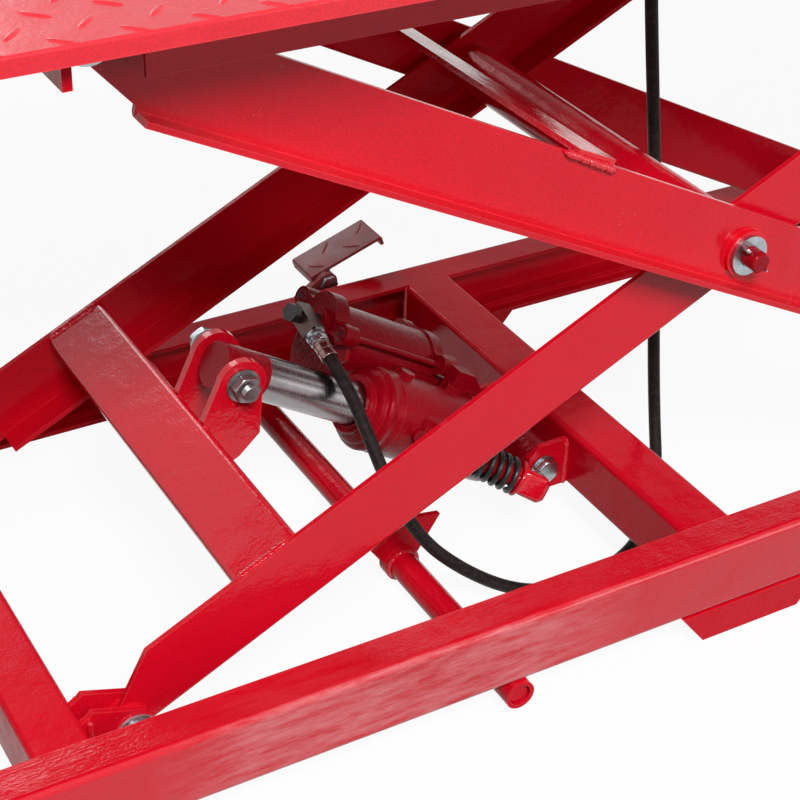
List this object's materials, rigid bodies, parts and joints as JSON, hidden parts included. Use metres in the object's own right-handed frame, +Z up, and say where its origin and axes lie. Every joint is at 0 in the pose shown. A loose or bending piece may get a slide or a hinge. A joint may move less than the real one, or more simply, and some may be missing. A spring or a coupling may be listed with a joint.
{
  "type": "motorcycle scissor lift",
  "caption": "Red scissor lift for motorcycles with a checkered platform, crossed arms on rollers, an air-hydraulic jack, a foot pedal, an air hose, a ramp and a wheel vise.",
  "frame": {"origin": "on the floor under the middle of the outline", "axes": "+X along the lift from the wheel vise to the ramp, +Y across it to the pedal side, +Z up"},
  "size_m": [2.568, 0.742, 0.8451],
  "materials": {
    "red_paint": "gloss",
    "zinc": "satin",
    "chrome_rod": "polished",
    "black_oxide": "satin",
    "hose_rubber": "matte",
    "plain_steel": "satin"
  },
  "bodies": {
    "base": {"base_rail_near": "red_paint", "base_rail_far": "red_paint", "end_crossbeams": "red_paint", "jack_crossbeam": "red_paint", "base_feet": "red_paint", "pivot_ears": "red_paint", "pedal_sleeve": "red_paint", "jack_bracket": "red_paint", "jack_pivot_bolt": "zinc", "base_pivot_pins": "zinc", "air_hose": "hose_rubber"},
    "inner_arms": {"inner_arm_near": "red_paint", "inner_arm_far": "red_paint", "inner_crossbar": "red_paint", "centre_tube": "red_paint", "ram_ears": "red_paint", "ram_bolt": "zinc", "arm_bushes": "red_paint", "centre_axle": "zinc", "centre_washers": "zinc", "cotter_pins": "zinc", "upper_roller_pins": "plain_steel"},
    "outer_arms": {"outer_arm_near": "red_paint", "outer_arm_far": "red_paint", "brace_flat_bar": "red_paint", "centre_bosses": "red_paint", "lower_roller_pins": "plain_steel", "outer_tie_tube": "red_paint"},
    "platform": {"deck_plate": "red_paint", "deck_tracks": "red_paint", "deck_ribs": "red_paint", "platform_ears": "red_paint", "platform_pins": "zinc", "tie_down_loops": "red_paint", "ramp_hinge": "red_paint", "vise_base": "red_paint", "hose_fitting": "red_paint"},
    "ramp": {"ramp": "red_paint"},
    "vise_jaw": {"vise_jaw": "red_paint"},
    "vise_screw": {"vise_screw": "plain_steel"},
    "jack": {"jack_cylinder": "red_paint", "jack_gland": "red_paint", "air_motor_barrel": "red_paint", "air_motor_cap": "red_paint", "air_motor_rods": "red_paint", "banjo_bolt": "black_oxide", "banjo_block": "plain_steel", "hose_ferrule": "plain_steel"},
    "ram": {"ram_rod": "chrome_rod", "ram_head": "red_paint"},
    "pump": {"pump_plunger": "red_paint", "pump_spring": "black_oxide"},
    "pedal": {"pedal_axle": "plain_steel", "pedal_arm": "red_paint", "pedal_plate": "red_paint", "pedal_bolt": "zinc"},
    "lower_roller_near": {"lower_roller_near": "plain_steel"},
    "lower_roller_far": {"lower_roller_far": "plain_steel"},
    "upper_roller_near": {"upper_roller_near": "plain_steel"},
    "upper_roller_far": {"upper_roller_far": "plain_steel"}
  },
  "joints": [
    {"name": "lift", "type": "hinge", "parent": "base", "child": "inner_arms", "pos_m": [-0.944, 0, 0.0755], "axis": [0, -1, 0], "range_deg": [-20.8, 0], "deforming": ["air_hose"]},
    {"name": "scissor", "type": "hinge", "parent": "inner_arms", "child": "outer_arms", "pos_m": [-0.34545, 0, 0.39452], "axis": [0, -1, 0], "range_deg": [0, 41.6]},
    {"name": "platform_level", "type": "hinge", "parent": "outer_arms", "child": "platform", "pos_m": [-0.94886, 0, 0.70378], "axis": [0, -1, 0], "range_deg": [-20.8, 0]},
    {"name": "jack_pivot", "type": "hinge", "parent": "base", "child": "jack", "pos_m": [-0.4163, 0, 0.072], "axis": [0, 1, 0], "range_deg": [-8.6, 0.1]},
    {"name": "ram_slide", "type": "slide", "parent": "jack", "child": "ram", "axis": [-0.8574, 0, 0.5147], "range_m": [-0.08, 0.0005]},
    {"name": "pump_stroke", "type": "slide", "parent": "jack", "child": "pump", "axis": [-0.7484, 0.4879, 0.4493], "range_m": [0, 0.008], "stiffness_N_per_m": 2500, "springref_m": -0.01, "deforming": ["pump_spring"]},
    {"name": "pedal_press", "type": "hinge", "parent": "base", "child": "pedal", "pos_m": [-0.5925, 0, 0.0209], "axis": [0, 1, 0], "range_deg": [0, 25], "stiffness_Nm_per_rad": 20, "springref_deg": -28.65},
    {"name": "ramp_hinge", "type": "hinge", "parent": "platform", "child": "ramp", "pos_m": [0.825, 0, 0.73478], "axis": [0, 1, 0], "range_deg": [0, 20]},
    {"name": "jaw_slide", "type": "slide", "parent": "platform", "child": "vise_jaw", "axis": [0, 1, 0], "range_m": [0, 0.09]},
    {"name": "screw_slide", "type": "slide", "parent": "platform", "child": "vise_screw", "axis": [0, 1, 0], "range_m": [0, 0.09]},
    {"name": "lower_roll_near", "type": "hinge", "parent": "outer_arms", "child": "lower_roller_near", "pos_m": [0.25311, 0, 0.0755], "axis": [0, 1, 0], "continuous": true},
    {"name": "lower_roll_far", "type": "hinge", "parent": "outer_arms", "child": "lower_roller_far", "pos_m": [0.25311, 0, 0.0755], "axis": [0, 1, 0], "continuous": true},
    {"name": "upper_roll_near", "type": "hinge", "parent": "inner_arms", "child": "upper_roller_near", "pos_m": [0.25797, 0, 0.70378], "axis": [0, 1, 0], "continuous": true},
    {"name": "upper_roll_far", "type": "hinge", "parent": "inner_arms", "child": "upper_roller_far", "pos_m": [0.25797, 0, 0.70378], "axis": [0, 1, 0], "continuous": true}
  ],
  "couplings": [
    {"joint": "scissor", "follows": "lift", "ratio": -2},
    {"joint": "platform_level", "follows": "lift", "ratio": 1},
    {"joint": "jack_pivot", "follows": "lift", "ratio": 0.41},
    {"joint": "ram_slide", "follows": "lift", "m_per_rad": 0.2186},
    {"joint": "screw_slide", "follows": "jaw_slide", "ratio": 1}
  ]
}
